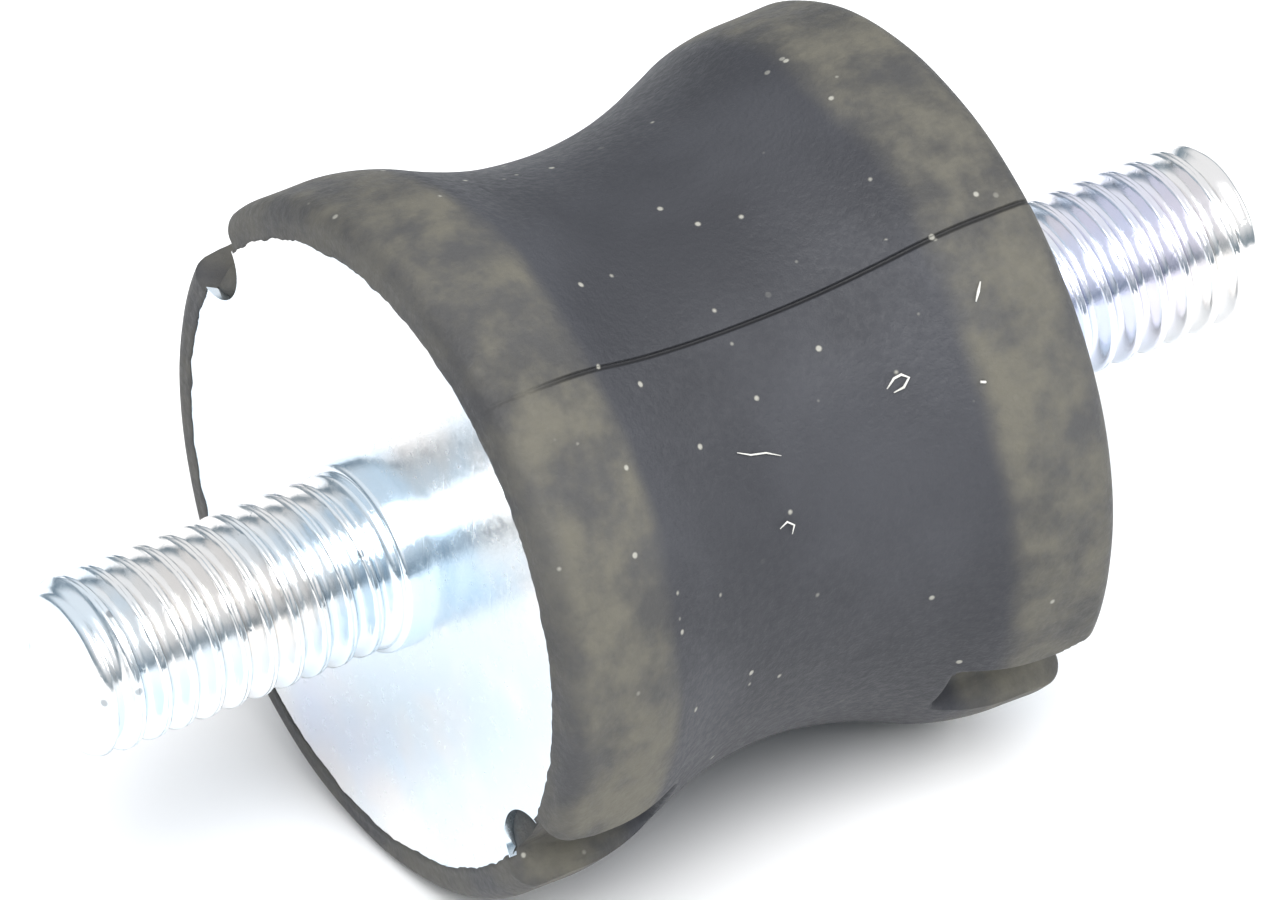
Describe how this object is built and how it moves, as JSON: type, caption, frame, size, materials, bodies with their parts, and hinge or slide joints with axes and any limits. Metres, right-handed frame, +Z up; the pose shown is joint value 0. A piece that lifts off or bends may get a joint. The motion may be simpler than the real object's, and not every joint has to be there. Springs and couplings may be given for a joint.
{
  "type": "bobbin vibration mount",
  "caption": "Waisted rubber bobbin bonded between steel end plates, with a threaded steel stud standing out of each end, for hanging or standing a machine on soft supports.",
  "frame": {"origin": "centre of the bobbin, halfway between the two plate faces on the studs' common axis", "axes": "X is the mount's axis, with the front stud pointing along -X and the rear stud along +X; +Z is up as the mount lies on its two rims"},
  "size_m": [0.0446, 0.0238, 0.0238],
  "materials": {
    "rubber": "moulded black rubber, dusty on the rims",
    "zinc_plate": "bright zinc plated, lightly scratched",
    "zinc_stud": "bright zinc plated, rolled thread"
  },
  "bodies": {
    "root": {"rubber_body": "rubber", "front_plate": "zinc_plate", "rear_plate": "zinc_plate", "front_stud": "zinc_stud", "rear_stud": "zinc_stud"}
  },
  "joints": []
}
